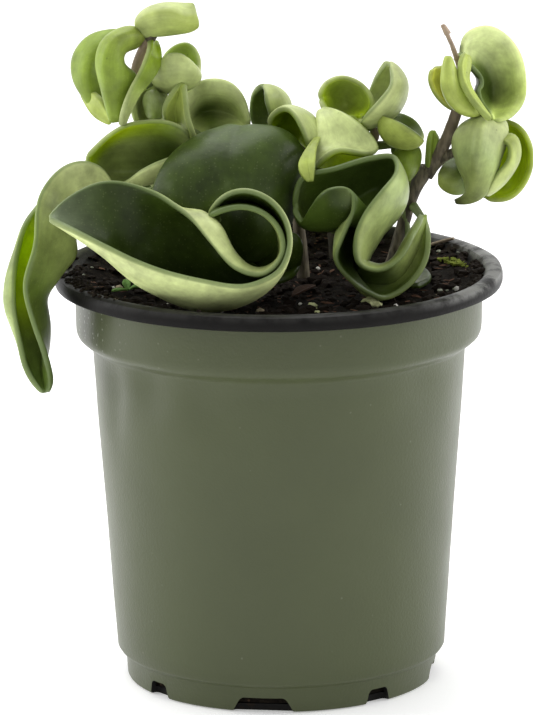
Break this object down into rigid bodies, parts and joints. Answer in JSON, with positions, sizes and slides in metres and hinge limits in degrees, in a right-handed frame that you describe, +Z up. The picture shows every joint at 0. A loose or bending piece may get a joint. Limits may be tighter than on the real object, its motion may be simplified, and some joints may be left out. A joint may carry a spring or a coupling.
{
  "type": "hindu rope plant in nursery pot",
  "caption": "Trailing wax plant with thick, folded and twisted rope-like leaves on short stems, growing from soil in a round tapered plastic nursery pot with a stepped collar.",
  "frame": {"origin": "centre of the pot's flat underside", "axes": "+Z up along the pot's axis, -Y towards the side seen in the picture, +X to its right"},
  "size_m": [0.126, 0.1192, 0.1658],
  "materials": {
    "olive_plastic": "satin moulded plastic, dark grey at the rim",
    "potting_soil": "rough, matte",
    "leaf_green": "waxy"
  },
  "bodies": {
    "root": {"pot": "olive_plastic", "soil": "potting_soil", "left_spray": "leaf_green", "middle_spray": "leaf_green", "right_spray": "leaf_green", "far_left_spray": "leaf_green", "far_right_spray": "leaf_green"}
  },
  "joints": []
}
